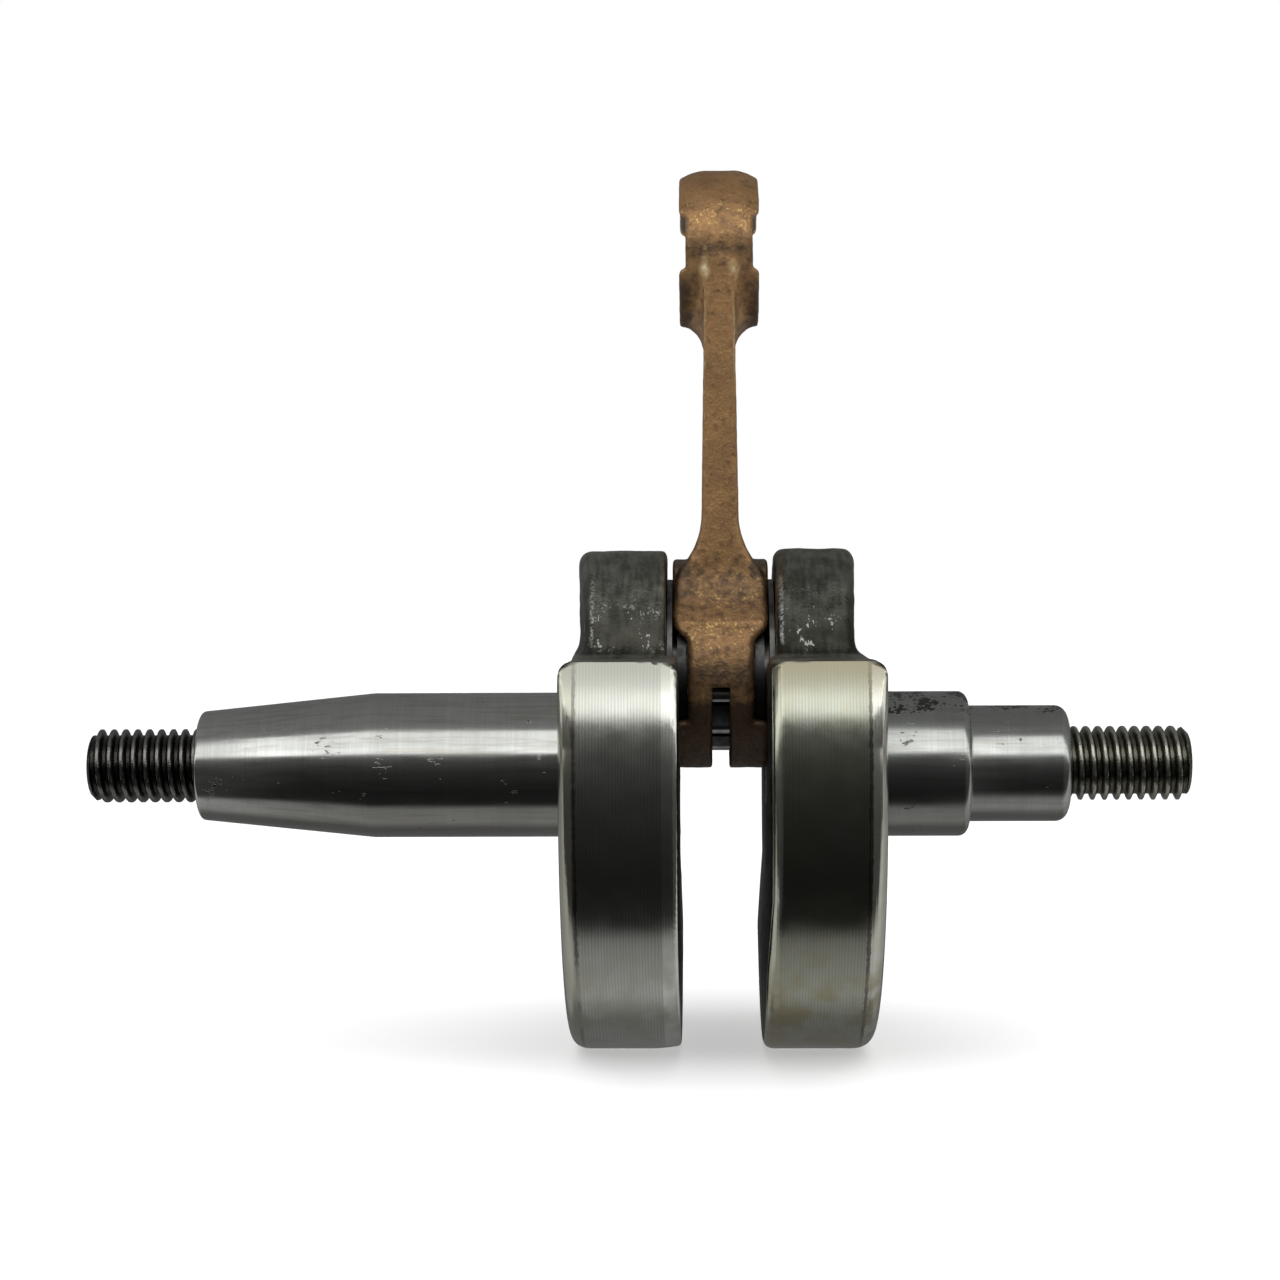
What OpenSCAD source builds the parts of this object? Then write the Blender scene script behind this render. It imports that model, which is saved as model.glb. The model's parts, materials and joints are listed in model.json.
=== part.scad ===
// Pressed-together crankshaft of a small two-stroke engine, with its connecting rod.
// +X runs along the shaft towards the drive end, +Z from the shaft axis to the crankpin.
// The origin is on the shaft axis, in the middle plane of the connecting rod.

/* [Crank webs] */
// Radius of the counterweight rim about the shaft axis
rim_r = 29.2; // [26:0.1:32]
// Distance from the shaft axis to the crankpin axis (half the stroke)
throw = 9.3; // [9:0.1:10.5]
// Clear gap between the two counterweights
web_gap = 8.3; // [8.3:0.1:9]
// Width of each counterweight along the shaft
web_w = 11.3; // [10:0.1:13]
// Height of the counterweight's flat shoulder above the shaft axis
shoulder_z = 11.2; // [10:0.2:13]
// Radius of the lobe that holds the crankpin
lobe_r = 12.8; // [11:0.2:13]
// Distance between the inner faces of the two lobes
lobe_gap = 10.86; // [10.82:0.02:11]
// Width of each lobe along the shaft
lobe_w = 8.9; // [8:0.1:9.5]
// Radius of the turned relief that lets the rod's big end pass the counterweights
relief_r = 13.3; // [13.1:0.1:14]
// Rounding of the counterweight's outer rim edge
rim_round = 1.6; // [0.8:0.1:2.5]
// Chamfer of the counterweight's inner rim edge
rim_chamfer = 0.7; // [0.3:0.1:1.2]
// How far the left web's inner face is set back above its step
left_step = 0.3; // [0:0.1:0.8]
// How far the right web's inner face is set back above its step
right_step = 0.7; // [0:0.1:0.8]
// Height of the lower edge of the steps
step_z = -17.8; // [-20:0.2:-14]
// Height over which the steps slope
step_h = 5.2; // [2:0.2:8]

/* [Main shafts] */
// Diameter of both main bearing journals
journal_d = 15; // [14:0.5:17]
// Length of the left main bearing journal
left_journal_len = 20.5; // [16:0.5:24]
// Length of the 1:5 flywheel taper
taper_len = 18.1; // [14:0.1:22]
// Length of the left thread
left_thread_len = 11.6; // [9:0.1:14]
// Length of the right main bearing journal
right_journal_len = 10; // [8:0.5:14]
// Diameter of the drive journal
drive_d = 12; // [10.5:0.5:13]
// Length of the drive journal
drive_len = 10.3; // [8:0.1:14]
// Length of the right thread
right_thread_len = 12.5; // [9:0.1:15]
// Major diameter of both M8 x 1.25 threads
thread_d = 7.8; // [7:0.1:8]
// Width of the Woodruff keyway in the taper
key_w = 3; // [2:0.5:4]
// Diameter of the Woodruff cutter
key_d = 10; // [8:0.5:13]
// Depth of the keyway below the taper's surface
key_depth = 2.5; // [1.5:0.1:3]

/* [Crankpin and needle bearing] */
// Diameter of the crankpin
pin_d = 12; // [12:0.5:12]
// Length of the crankpin, pressed into a blind bore in each lobe
pin_len = 25.6; // [24:0.2:26]
// Bore of the rod's big end
big_bore_d = 16; // [16:0.5:16]
// Diameter of a needle roller
roller_d = 1.96; // [1.92:0.01:1.97]
// Length of a needle roller
roller_len = 6.8; // [6:0.1:6.9]
// Number of needle rollers
roller_count = 12; // [12:1:12]
// Width of the needle cage
cage_w = 8.8; // [8.6:0.1:9.4]
// Thickness of a thrust washer
washer_t = 0.5; // [0.4:0.01:0.5]
// Outer diameter of a thrust washer
washer_d = 19.8; // [18:0.1:20.4]

/* [Connecting rod] */
// Distance between the big-end and small-end centres
rod_centres = 44.2; // [42:0.2:48]
// Outer diameter of the big end
big_end_d = 19.3; // [18.8:0.1:20]
// Width of the big end between its thrust faces
big_end_w = 9.76; // [9.5:0.02:9.8]
// Outer diameter of the small end
small_end_d = 16; // [15:0.2:17]
// Bore of the small end
small_bore_d = 12; // [11:0.5:13]
// Width of the small end
small_end_w = 8.1; // [7:0.1:8.1]
// Thickness of the shank where it meets the big end
shank_w_low = 3.9; // [3.8:0.1:4.6]
// Thickness of the shank where it meets the small end
shank_w_top = 3.3; // [3.2:0.1:4]
// Width of the oil slot under the big end
slot_w = 1.8; // [1.5:0.1:2.4]

/* [Hidden] */
$fn = 96;

web_in = web_gap / 2;
web_out = web_in + web_w;
lobe_in = lobe_gap / 2;
lobe_out = lobe_in + lobe_w;
journal_r = journal_d / 2;
drive_r = drive_d / 2;
thread_r = thread_d / 2;
pin_r = pin_d / 2;
big_bore_r = big_bore_d / 2;
big_end_r = big_end_d / 2;
big_half = big_end_w / 2;
small_end_r = small_end_d / 2;
small_half = small_end_w / 2;

// The shaft ends
root_len = 1;                                         // shaft buried in the web
taper_edge = 0.4;
taper_small_r = journal_r - (taper_len - taper_edge) / 10;  // 1:5 on diameter
journal_edge = 0.9;
drive_edge = 1.3;
thread_edge = 0.8;
centre_drill_r = 1.25;
centre_drill_len = 3.5;
centre_cone_r = 2;
centre_cone_len = 1.3;

// The bearing
pitch_r = (pin_r + big_bore_r) / 2;
roller_step = 360 / roller_count;
cage_gap = 0.15;                                      // cage to pin and cage to bore
pocket_play = 0.04;
pocket_len = roller_len + 0.2;
washer_bore_r = pin_r + 0.06;
washer_x = (big_half + lobe_in - washer_t) / 2;
pin_edge = 0.5;
pin_end_gap = 0.1;

// The rod, heights are above the crankpin axis
face_r = 12.7;                                        // reach of the ground thrust faces
face_half_depth = 4.3;
notch_low = -4.3;
notch_top = 3.7;
notch_chamfer = 1.3;
notch_depth = 1.55;
flare_low = 9.9;
flare_top = 14.3;
shank_depth_low = 5.4;
shank_depth_top = 7.1;
panel_depth = 0.75;                                   // sunk panel on each side of the shank
panel_low = 18.5;
panel_top = 30;
small_flare_low = rod_centres - 10.2;
small_flare_top = rod_centres - 8;
crown_flat = 1.4;
crown_drop = 1.1;
small_notch_half = 1.95;
small_notch_depth = 1.4;
slot_top = -1.1;

function roller_name(i) = str("needle_roller_", i < 10 ? "0" : "", i);
function arc(cx, cy, r, a0, a1, n) =
    [for (i = [0 : n]) let (a = a0 + (a1 - a0) * i / n) [cx + r * cos(a), cy + r * sin(a)]];

// Turns what was drawn about +Z so that it lies about +X
module about_x() {
    rotate([0, 90, 0]) children();
}

module at_crankpin() {
    translate([0, 0, throw]) children();
}

// Extrudes a side outline, drawn as (y, z), from x0 to x1
module side_extrude(x0, x1) {
    translate([x0, 0, 0]) rotate([90, 0, 90]) linear_extrude(x1 - x0) children();
}

// Extrudes a front outline, drawn as (x, z), through the whole depth
module front_extrude(depth) {
    rotate([90, 0, 0]) linear_extrude(depth, center = true) children();
}

// Counterweight sector: a turned disc cut off at the shoulder
module counterweight() {
    difference() {
        about_x() rotate_extrude() polygon(concat(
            [[0, web_in], [rim_r - rim_chamfer, web_in], [rim_r, web_in + rim_chamfer]],
            arc(rim_r - rim_round, web_out - rim_round, rim_round, 0, 90, 6),
            [[0, web_out]]
        ));
        translate([0, -rim_r, shoulder_z]) cube([web_out + 1, 2 * rim_r, rim_r]);
    }
}

// Lobe round the crankpin, running down into the counterweight
module lobe() {
    side_extrude(lobe_in, lobe_out) {
        translate([0, throw]) circle(lobe_r);
        translate([-lobe_r, 0]) square([2 * lobe_r, throw]);
    }
}

// One web, on the +X side of the rod
module web(step) {
    difference() {
        union() {
            counterweight();
            lobe();
        }
        front_extrude(2 * rim_r + 1) polygon([
            [0, step_z], [web_in, step_z], [web_in + step, step_z + step_h],
            [web_in + step, shoulder_z + 1], [0, shoulder_z + 1]
        ]);
        at_crankpin() translate([web_in - 1, 0, 0]) about_x()
            cylinder(h = lobe_in - web_in + 1, r = relief_r);
        at_crankpin() about_x() cylinder(h = pin_len / 2 + pin_end_gap, r = pin_r);
    }
}

// Centre-drilled hole in a shaft end that faces +X at x
module centre_hole(x) {
    translate([x, 0, 0]) rotate([0, -90, 0]) {
        translate([0, 0, -1]) cylinder(h = centre_drill_len + 1, r = centre_drill_r);
        cylinder(h = centre_cone_len, r1 = centre_cone_r, r2 = centre_drill_r);
    }
}

// Drive-end shaft: main journal, drive journal and thread
module drive_shaft() {
    drive_x = web_out + right_journal_len;
    thread_x = drive_x + drive_len;
    end_x = thread_x + right_thread_len;
    difference() {
        about_x() rotate_extrude() polygon([
            [0, web_out - root_len],
            [journal_r, web_out - root_len],
            [journal_r, drive_x - journal_edge],
            [journal_r - journal_edge, drive_x],
            [drive_r, drive_x],
            [drive_r, thread_x - drive_edge],
            [drive_r - drive_edge, thread_x],
            [thread_r, thread_x],
            [thread_r, end_x - thread_edge],
            [thread_r - thread_edge, end_x],
            [0, end_x]
        ]);
        centre_hole(end_x);
    }
}

// Flywheel-end shaft, drawn towards +X and mirrored by its caller
module flywheel_shaft() {
    taper_x = web_out + left_journal_len;
    thread_x = taper_x + taper_len;
    end_x = thread_x + left_thread_len;
    key_x = taper_x + taper_len / 2;
    key_surface_r = (journal_r + taper_small_r) / 2;
    difference() {
        about_x() rotate_extrude() polygon([
            [0, web_out - root_len],
            [journal_r, web_out - root_len],
            [journal_r, taper_x],
            [taper_small_r, thread_x - taper_edge],
            [taper_small_r - taper_edge, thread_x],
            [thread_r, thread_x],
            [thread_r, end_x - thread_edge],
            [thread_r - thread_edge, end_x],
            [0, end_x]
        ]);
        centre_hole(end_x);
        translate([key_x, key_surface_r + key_d / 2 - key_depth, -key_w / 2])
            cylinder(h = key_w, d = key_d);
    }
}

module left_crank_half() {
    color([0.42, 0.42, 0.41]) mirror([1, 0, 0]) union() {
        web(left_step);
        flywheel_shaft();
    }
}

module right_crank_half() {
    color([0.45, 0.45, 0.43]) union() {
        web(right_step);
        drive_shaft();
    }
}

module crankpin() {
    half = pin_len / 2;
    color([0.62, 0.62, 0.63]) at_crankpin() about_x() rotate_extrude() polygon([
        [0, -half],
        [pin_r - pin_edge, -half],
        [pin_r, -half + pin_edge],
        [pin_r, half - pin_edge],
        [pin_r - pin_edge, half],
        [0, half]
    ]);
}

// Shank and big end seen along the shaft, drawn as (y, height above the crankpin)
module rod_side_outline() {
    circle(big_end_r);
    polygon([
        [-8.7, 6.2], [-6, 10.6], [-shank_depth_low, 15], [-shank_depth_top, 34], [-7.5, 38],
        [7.5, 38], [shank_depth_top, 34], [shank_depth_low, 15], [6, 10.6], [8.7, 6.2]
    ]);
}

// Right half of the rod seen square to the shaft, drawn as (x, height above the crankpin)
module rod_front_half() {
    low = shank_w_low / 2;
    top = shank_w_top / 2;
    flare_r = flare_top - flare_low;
    neck = big_half - notch_depth;
    polygon(concat(
        [[-0.1, -big_end_r - 1], [big_half, -big_end_r - 1]],
        [[big_half, notch_low], [neck, notch_low], [neck, notch_top]],
        [[big_half, notch_top + notch_chamfer], [big_half, flare_low]],
        [for (p = arc(1, 1, 1, -90, -180, 6))
            [low + (big_half - low) * p[0], flare_low + flare_r * p[1]]],
        [[top, small_flare_low], [small_half, small_flare_top]],
        [[small_half, rod_centres], [-0.1, rod_centres]]
    ));
}

// Part of the thrust face that stands above the flare
module thrust_face() {
    intersection() {
        side_extrude(-big_half, big_half) circle(face_r);
        translate([-big_half, -face_half_depth, notch_top + notch_chamfer])
            cube([big_end_w, 2 * face_half_depth, face_r]);
    }
}

// Small-end eye with a crowned outside
module small_end_eye() {
    edge_r = small_end_r - crown_drop;
    about_x() rotate_extrude() polygon([
        [0, -small_half],
        [edge_r, -small_half],
        [small_end_r - crown_drop / 3, -(small_half + crown_flat) / 2],
        [small_end_r, -crown_flat],
        [small_end_r, crown_flat],
        [small_end_r - crown_drop / 3, (small_half + crown_flat) / 2],
        [edge_r, small_half],
        [0, small_half]
    ]);
}

// Sunk panel on one side of the shank
module shank_panel() {
    low_r = shank_depth_low - 2;
    top_r = low_r + 0.2;
    side_extrude(0, big_half) {
        polygon([[-low_r, panel_low], [-top_r, panel_top], [top_r, panel_top], [low_r, panel_low]]);
        translate([0, panel_low]) circle(low_r);
        translate([0, panel_top]) circle(top_r);
    }
}

module connecting_rod() {
    panel_x = (shank_w_low + shank_w_top) / 4 - panel_depth;
    color([0.52, 0.36, 0.2]) at_crankpin() difference() {
        union() {
            intersection() {
                side_extrude(-big_half, big_half) rod_side_outline();
                front_extrude(2 * face_r) {
                    rod_front_half();
                    mirror([1, 0]) rod_front_half();
                }
            }
            thrust_face();
            translate([0, 0, rod_centres]) small_end_eye();
        }
        translate([-big_end_w, 0, 0]) about_x() cylinder(h = 2 * big_end_w, r = big_bore_r);
        translate([-big_end_w, 0, rod_centres]) about_x()
            cylinder(h = 2 * big_end_w, d = small_bore_d);
        translate([-slot_w / 2, -face_r, -2 * face_r])
            cube([slot_w, 2 * face_r, 2 * face_r + slot_top]);
        for (side = [0, 1]) mirror([side, 0, 0]) {
            translate([small_half - small_notch_depth, -face_r, rod_centres - small_notch_half])
                cube([big_end_w, 2 * face_r, 2 * small_notch_half]);
            translate([panel_x, 0, 0]) shank_panel();
        }
    }
}

module needle_cage() {
    color([0.3, 0.3, 0.3]) at_crankpin() difference() {
        translate([-cage_w / 2, 0, 0]) about_x() difference() {
            cylinder(h = cage_w, r = big_bore_r - cage_gap);
            translate([0, 0, -1]) cylinder(h = cage_w + 2, r = pin_r + cage_gap);
        }
        for (i = [1 : roller_count])
            rotate([(i - 0.5) * roller_step, 0, 0])
                translate([-pocket_len / 2, -roller_d / 2 - pocket_play, 0])
                    cube([pocket_len, roller_d + 2 * pocket_play, big_bore_r + 1]);
    }
}

module needle_roller(i) {
    color([0.7, 0.7, 0.72]) at_crankpin() rotate([(i - 0.5) * roller_step, 0, 0])
        translate([-roller_len / 2, 0, pitch_r]) about_x() cylinder(h = roller_len, d = roller_d);
}

module thrust_washer(side) {
    color([0.6, 0.58, 0.52]) at_crankpin()
        translate([side > 0 ? washer_x : -washer_x - washer_t, 0, 0]) about_x() difference() {
            cylinder(h = washer_t, d = washer_d);
            translate([0, 0, -1]) cylinder(h = washer_t + 2, r = washer_bore_r);
        }
}

left_crank_half();
right_crank_half();
crankpin();
connecting_rod();
needle_cage();
thrust_washer(-1);  // thrust_washer_left
thrust_washer(1);  // thrust_washer_right
for (i = [1 : roller_count])
    needle_roller(i);
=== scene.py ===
"""Looks of a small two-stroke engine's crankshaft and rod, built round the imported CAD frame.

Shapes are worked out in millimetres, in the frame's own axes, and scaled to metres when a mesh is
made. A solid is a function of x, y and z that gives a signed distance, negative inside, and
surface_net() makes its mesh. Rounded edges and fillets come from smooth_max() and smooth_min().
"""

import json
import math

import bmesh
import bpy
import numpy as np
from mathutils import Euler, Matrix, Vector, noise


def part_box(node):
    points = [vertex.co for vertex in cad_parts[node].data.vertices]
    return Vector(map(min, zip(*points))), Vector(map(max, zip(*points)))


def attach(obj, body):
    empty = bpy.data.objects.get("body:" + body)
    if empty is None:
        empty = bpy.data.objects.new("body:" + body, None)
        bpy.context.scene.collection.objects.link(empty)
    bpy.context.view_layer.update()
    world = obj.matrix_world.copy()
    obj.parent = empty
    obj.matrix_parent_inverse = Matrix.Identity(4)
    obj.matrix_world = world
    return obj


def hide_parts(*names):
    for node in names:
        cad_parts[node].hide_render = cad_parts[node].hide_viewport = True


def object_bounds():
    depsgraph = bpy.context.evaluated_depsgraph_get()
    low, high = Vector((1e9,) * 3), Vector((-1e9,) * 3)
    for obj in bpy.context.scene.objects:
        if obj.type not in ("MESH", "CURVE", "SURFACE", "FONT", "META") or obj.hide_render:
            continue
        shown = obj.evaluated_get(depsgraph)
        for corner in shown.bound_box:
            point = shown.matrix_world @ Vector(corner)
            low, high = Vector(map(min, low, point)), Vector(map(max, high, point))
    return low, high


MM = 0.001

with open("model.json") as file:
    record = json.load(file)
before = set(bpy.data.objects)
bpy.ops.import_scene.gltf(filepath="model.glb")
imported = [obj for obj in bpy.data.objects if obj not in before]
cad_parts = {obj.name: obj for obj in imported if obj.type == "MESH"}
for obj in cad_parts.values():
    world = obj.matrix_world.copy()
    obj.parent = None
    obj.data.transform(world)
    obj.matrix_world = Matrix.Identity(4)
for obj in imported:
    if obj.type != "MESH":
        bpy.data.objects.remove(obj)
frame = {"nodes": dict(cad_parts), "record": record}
cad_low, cad_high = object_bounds()
MOUNTS = {mount["name"]: mount for mount in frame["record"]["mounts"]}


# ---------------------------------------------------------------- sizes from the frame, in mm

def mount_x(name):
    return MOUNTS[name]["pos_m"][0] / MM


def mount_r(name):
    return MOUNTS[name]["dims"]["r_mm"]


def mount_half(name):
    return MOUNTS[name]["dims"]["length_mm"] / 2


def box_mm(node):
    low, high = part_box(node)
    return low / MM, high / MM


left_low, _ = box_mm("left_crank_half")
right_low, right_high = box_mm("right_crank_half")
rod_low, rod_high = box_mm("connecting_rod")
pin_low, pin_high = box_mm("crankpin")
_, washer_high = box_mm("thrust_washer_right")
_, cage_high = box_mm("needle_cage")

WASHER_PLAY = 0.025
PIN_END_GAP = 0.1
CAGE_PLAY = 0.15

THROW = (pin_low.z + pin_high.z) / 2
RIM_R = right_high.y
WEB_IN = right_low.x
WEB_OUT = mount_x("right_main_journal") - mount_half("right_main_journal")
LOBE_IN = washer_high.x + WASHER_PLAY
LOBE_R = right_high.z - THROW
PIN_R = pin_high.y
PIN_HOLE_END = pin_high.x + PIN_END_GAP
JOURNAL_R = mount_r("right_main_journal")
LEFT_TAPER_X = -mount_x("left_main_journal") + mount_half("left_main_journal")
LEFT_THREAD_X = -mount_x("left_thread") - mount_half("left_thread")
LEFT_END_X = -left_low.x
DRIVE_X = mount_x("drive_journal") - mount_half("drive_journal")
DRIVE_R = mount_r("drive_journal")
RIGHT_THREAD_X = mount_x("right_thread") - mount_half("right_thread")
RIGHT_END_X = right_high.x

BIG_R = THROW - rod_low.z
BIG_HALF = rod_high.x
BIG_BORE_R = cage_high.y + CAGE_PLAY
SMALL_Z = MOUNTS["small_end_bore"]["pos_m"][2] / MM
SMALL_R = rod_high.z - SMALL_Z
SMALL_HALF = mount_half("small_end_bore")
SMALL_BORE_R = mount_r("small_end_bore")
ROD_CENTRES = SMALL_Z - THROW


# ---------------------------------------------------------------- camera and studio

# A short telephoto, a little left of square to the shaft
CAMERA_PLACE = (-1.7 * MM, -265 * MM, 15.2 * MM)
CAMERA_LENS = 71.66
CAMERA_PITCH = -0.49
CAMERA_YAW = 1.435
CAMERA_ROLL = 0.26
FLOOR_Z = cad_low.z
FLOOR_LIGHT_SPREAD = math.radians(80)


def add_camera():
    camera = bpy.data.objects.new("camera", bpy.data.cameras.new("camera"))
    camera.data.lens = CAMERA_LENS
    camera.data.sensor_width = 36
    camera.data.clip_start = 0.01
    camera.location = CAMERA_PLACE
    angles = (90 + CAMERA_PITCH, CAMERA_ROLL, CAMERA_YAW)
    camera.rotation_euler = Euler([math.radians(angle) for angle in angles])
    bpy.context.collection.objects.link(camera)
    bpy.context.scene.camera = camera


def add_area_light(name, place, aim, size, power):
    light = bpy.data.objects.new(name, bpy.data.lights.new(name, "AREA"))
    light.data.shape = "RECTANGLE"
    light.data.size, light.data.size_y = size
    light.data.energy = power
    light.location = place
    light.rotation_euler = (Vector(aim) - Vector(place)).to_track_quat("-Z", "Y").to_euler()
    bpy.context.collection.objects.link(light)


def add_floor_light(name, strength, casts_shadow, floor_only):
    """Even light from straight above that falls on the floor alone."""
    light = bpy.data.objects.new(name, bpy.data.lights.new(name, "SUN"))
    light.data.energy = strength
    light.data.angle = FLOOR_LIGHT_SPREAD
    light.data.use_shadow = casts_shadow
    light.light_linking.receiver_collection = floor_only
    light.visible_glossy = False
    bpy.context.collection.objects.link(light)


def add_plane(name, low, high, z, material):
    mesh = bpy.data.meshes.new(name)
    corners = [(low[0], low[1], z), (high[0], low[1], z),
               (high[0], high[1], z), (low[0], high[1], z)]
    mesh.from_pydata(corners, [], [(0, 1, 2, 3)])
    mesh.materials.append(material)
    plane = bpy.data.objects.new(name, mesh)
    bpy.context.collection.objects.link(plane)
    return plane


def plain_material(name, colour, roughness):
    material = bpy.data.materials.new(name)
    material.use_nodes = True
    shader = material.node_tree.nodes["Principled BSDF"]
    shader.inputs["Base Color"].default_value = (*colour, 1)
    shader.inputs["Roughness"].default_value = roughness
    shader.inputs["Specular IOR Level"].default_value = 0
    return material


# Brightness of the room round the X axis, for reflections and fill: degrees up from straight ahead
# of the object's front, going over the top to 180 behind it and down under it to -180
ROOM = ((-180, 0.14), (-118, 0.19), (-100, 0.45), (-71, 0.28), (-64, 0.02), (-43, 0.014),
        (-25, 0.022), (-7, 0.035), (7, 0.07), (18, 0.1), (58, 0.26), (121, 0.22), (180, 0.14))
# The same for directions that lean towards the two ends of the shaft, which take over from the room
# as the share of X in the direction goes from the first to the second of SIDES_FROM
SIDES = ((-180, 0.25), (-95, 0.55), (-77, 0.48), (-69, 0.05), (-7, 0.07), (10, 0.12),
         (18, 0.25), (23, 1.4), (45, 1.3), (60, 0.3), (180, 0.2))
SIDES_FROM = (0.4, 0.5)


def add_room(tree):
    """Socket that gives the room's brightness in each direction."""
    new, link = tree.nodes.new, tree.links.new

    def math_node(operation, a, b):
        node = new("ShaderNodeMath")
        node.operation = operation
        for value, socket in zip((a, b), node.inputs):
            if isinstance(value, bpy.types.NodeSocket):
                link(value, socket)
            else:
                socket.default_value = value
        return node.outputs[0]

    def profile(turn, levels):
        ramp = new("ShaderNodeValToRGB")
        link(turn, ramp.inputs[0])
        stops = ramp.color_ramp.elements
        while len(stops) < len(levels):
            stops.new(0.5)
        for stop, (degrees, grey) in zip(stops, levels):
            stop.position = degrees / 360 + 0.5
            stop.color = (grey, grey, grey, 1)
        return ramp.outputs["Color"]

    direction = new("ShaderNodeSeparateXYZ")
    link(new("ShaderNodeTexCoord").outputs["Generated"], direction.inputs[0])
    x, y, z = direction.outputs
    angle = math_node("ARCTAN2", z, math_node("MULTIPLY", y, -1))
    turn = math_node("ADD", math_node("DIVIDE", angle, 2 * math.pi), 0.5)
    sideways = new("ShaderNodeMapRange")
    sideways.interpolation_type = "SMOOTHSTEP"
    link(math_node("ABSOLUTE", x, 0), sideways.inputs["Value"])
    sideways.inputs["From Min"].default_value = SIDES_FROM[0]
    sideways.inputs["From Max"].default_value = SIDES_FROM[1]
    mix = new("ShaderNodeMix")
    mix.data_type = "RGBA"
    link(sideways.outputs["Result"], mix.inputs["Factor"])
    link(profile(turn, ROOM), mix.inputs["A"])
    link(profile(turn, SIDES), mix.inputs["B"])
    return mix.outputs["Result"]


def add_world():
    """White behind the object, and the room in its reflections."""
    world = bpy.data.worlds.new("studio")
    world.use_nodes = True
    bpy.context.scene.world = world
    tree = world.node_tree
    tree.nodes.clear()
    new, link = tree.nodes.new, tree.links.new
    room = new("ShaderNodeBackground")
    link(add_room(tree), room.inputs["Color"])
    white = new("ShaderNodeBackground")
    white.inputs["Color"].default_value = (1, 1, 1, 1)
    mix = new("ShaderNodeMixShader")
    link(new("ShaderNodeLightPath").outputs["Is Camera Ray"], mix.inputs[0])
    link(room.outputs[0], mix.inputs[1])
    link(white.outputs[0], mix.inputs[2])
    link(mix.outputs[0], new("ShaderNodeOutputWorld").inputs[0])


def add_studio():
    bpy.context.scene.view_settings.view_transform = "Standard"
    add_world()
    shaft_axis = (0, 0, 0)
    add_area_light("soft_box_low", (0, -0.45, 0.217), shaft_axis, size=(0.62, 0.092), power=0.29)
    add_area_light("soft_box_high", (0, -0.355, 0.352), shaft_axis, size=(0.62, 0.245), power=0.57)
    paper = plain_material("floor_paper", (0.9, 0.9, 0.9), 0.9)
    floor = add_plane("floor", (-3, -3), (3, 3), FLOOR_Z, paper)
    floor.visible_glossy = False
    floor_only = bpy.data.collections.new("floor_only")
    floor_only.objects.link(floor)
    add_floor_light("floor_light", 0.3, casts_shadow=True, floor_only=floor_only)
    add_floor_light("floor_fill", 2.6, casts_shadow=False, floor_only=floor_only)


# ---------------------------------------------------------------- mesh making

def smooth_max(a, b, k):
    """The larger of a and b, with a rounding of about 0.85 k where they meet."""
    h = np.maximum(k - np.abs(a - b), 0) / k
    return np.maximum(a, b) + h * h * k / 4


def smooth_min(a, b, k):
    return -smooth_max(-a, -b, k)


def gradient(distance, points):
    step = 0.01
    slopes = []
    for axis in np.eye(3) * step:
        ahead = points + axis
        behind = points - axis
        slopes.append((distance(*ahead.T) - distance(*behind.T)) / (2 * step))
    return np.stack(slopes, axis=1)


def surface_net(distance, low, high, step):
    """Vertices and quads of the surface where distance is 0: one vertex in each cell it crosses."""
    axes = [np.arange(a, b + s, s) for a, b, s in zip(low, high, step)]
    grid = np.meshgrid(*axes, indexing="ij", sparse=True)
    field = np.broadcast_to(distance(*grid), [len(axis) for axis in axes])
    total = np.zeros((*[n - 1 for n in field.shape], 3))
    count = np.zeros(total.shape[:3], int)
    around = []
    for axis in range(3):
        near = np.take(field, range(field.shape[axis] - 1), axis)
        far = np.take(field, range(1, field.shape[axis]), axis)
        crossed = (near < 0) != (far < 0)
        edge = np.argwhere(crossed)
        point = edge.astype(float)
        point[:, axis] += near[crossed] / (near[crossed] - far[crossed])
        u, v = np.eye(3, dtype=int)[(axis + 1) % 3], np.eye(3, dtype=int)[(axis + 2) % 3]
        cells = [edge - u - v, edge - v, edge, edge - u]
        for cell in cells:
            np.add.at(total, tuple(cell.T), point)
            np.add.at(count, tuple(cell.T), 1)
        around.append((cells, near[crossed] < 0))
    used = count > 0
    number = np.full(count.shape, -1)
    number[used] = np.arange(used.sum())
    points = total[used] / count[used][:, None] * np.array(step) + np.array([a[0] for a in axes])
    quads = []
    for cells, outward in around:
        quad = np.stack([number[tuple(cell.T)] for cell in cells], axis=1)
        quads.append(np.where(outward[:, None], quad, quad[:, ::-1]))
    return points, np.concatenate(quads)


def settled(distance, points, rounds=3):
    """Moves points onto the surface, and gives them with their normals."""
    for _ in range(rounds):
        slope = gradient(distance, points)
        square = np.maximum((slope * slope).sum(1), 0.05)
        move = distance(*points.T) / square
        points = points - np.clip(move, -0.1, 0.1)[:, None] * slope
    slope = gradient(distance, points)
    return points, slope / np.maximum(np.linalg.norm(slope, axis=1), 1e-6)[:, None]


def lumps(points, size):
    """Smooth noise at each point, from -1 to 1, whose lumps are about size across."""
    return np.array([noise.noise(Vector(point)) for point in points / size])


def mesh_object(name, points, faces, materials=()):
    mesh = bpy.data.meshes.new(name)
    mesh.from_pydata((points * MM).tolist(), [], faces.tolist())
    for material in materials:
        mesh.materials.append(material)
    mesh.shade_smooth()
    piece = bpy.data.objects.new(name, mesh)
    bpy.context.collection.objects.link(piece)
    return piece


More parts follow.
